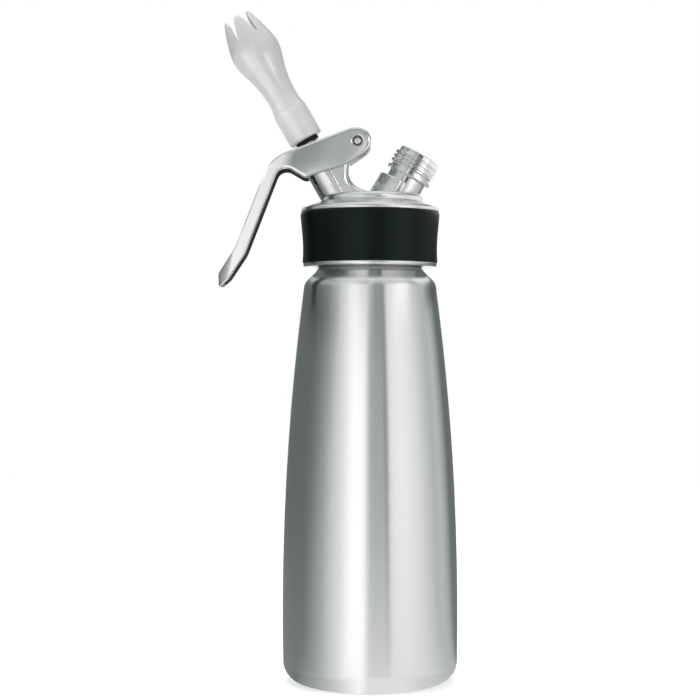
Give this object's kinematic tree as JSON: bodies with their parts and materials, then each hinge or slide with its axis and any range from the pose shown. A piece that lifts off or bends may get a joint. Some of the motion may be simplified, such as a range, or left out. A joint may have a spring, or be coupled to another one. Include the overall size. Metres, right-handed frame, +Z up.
{
  "type": "cream whipper",
  "caption": "Steel cream whipper: round bottle, screw-on cast head with rubber grip ring, hand lever valve, threaded charger socket and tulip decorator tip.",
  "frame": {"origin": "centre of the bottle's base", "axes": "+Z up along the bottle's axis, -X towards the lever, +X towards the charger socket"},
  "size_m": [0.1285, 0.0944, 0.3612],
  "materials": {
    "bottle_steel": "satin, brushed round the axis",
    "head_steel": "satin cast steel",
    "adapter_steel": "turned and polished",
    "inner_steel": "turned",
    "grip_rubber": "matt silicone",
    "seal_rubber": "matt",
    "black_plastic": "moulded",
    "clear_plastic": "translucent moulded"
  },
  "bodies": {
    "bottle": {"bottle": "bottle_steel"},
    "gasket": {"head_gasket": "seal_rubber"},
    "head": {"head": "head_steel", "grip_ring": "grip_rubber", "charger_adapter": "adapter_steel", "charger_seal": "seal_rubber", "piercing_pin": "inner_steel", "check_spring": "inner_steel", "check_retainer": "inner_steel", "hinge_pin": "inner_steel", "valve_spring": "inner_steel"},
    "check_ball": {"check_ball": "inner_steel"},
    "lever": {"lever": "head_steel"},
    "valve": {"valve_stem": "inner_steel", "stem_seals": "seal_rubber", "valve_seal": "seal_rubber", "spring_cap": "inner_steel", "retaining_ring": "inner_steel"},
    "tip_seal": {"tip_seal": "seal_rubber"},
    "tip": {"tip_adapter": "black_plastic", "decorator_tip": "clear_plastic"}
  },
  "joints": [
    {"name": "head_lift", "type": "slide", "parent": "bottle", "child": "gasket", "axis": [0, 0, 1], "range_m": [0, 0.01125]},
    {"name": "head_turn", "type": "hinge", "parent": "gasket", "child": "head", "pos_m": [0, 0, 0.25], "axis": [0, 0, 1], "range_deg": [0, 900]},
    {"name": "lever_pivot", "type": "hinge", "parent": "head", "child": "lever", "pos_m": [-0.00677, 0, 0.29022], "axis": [0, -1, 0], "range_deg": [0, 8.75]},
    {"name": "valve_stroke", "type": "slide", "parent": "head", "child": "valve", "axis": [0.5, 0, -0.866], "range_m": [0, 0.00255], "stiffness_N_per_m": 3000, "springref_m": -0.004, "deforming": ["valve_spring"]},
    {"name": "tip_lift", "type": "slide", "parent": "valve", "child": "tip_seal", "axis": [-0.5, 0, 0.866], "range_m": [0, 0.0054]},
    {"name": "tip_turn", "type": "hinge", "parent": "tip_seal", "child": "tip", "pos_m": [0, 0, 0.2327], "axis": [-0.5, 0, 0.866], "range_deg": [0, 1080]},
    {"name": "check_drop", "type": "slide", "parent": "head", "child": "check_ball", "axis": [0, 0, -1], "range_m": [0, 0.001], "stiffness_N_per_m": 50, "springref_m": -0.002, "deforming": ["check_spring"]}
  ],
  "couplings": [
    {"joint": "head_turn", "follows": "head_lift", "rad_per_m": 1396.2},
    {"joint": "lever_pivot", "follows": "valve_stroke", "rad_per_m": 59.88},
    {"joint": "tip_turn", "follows": "tip_lift", "rad_per_m": 3490.6}
  ]
}
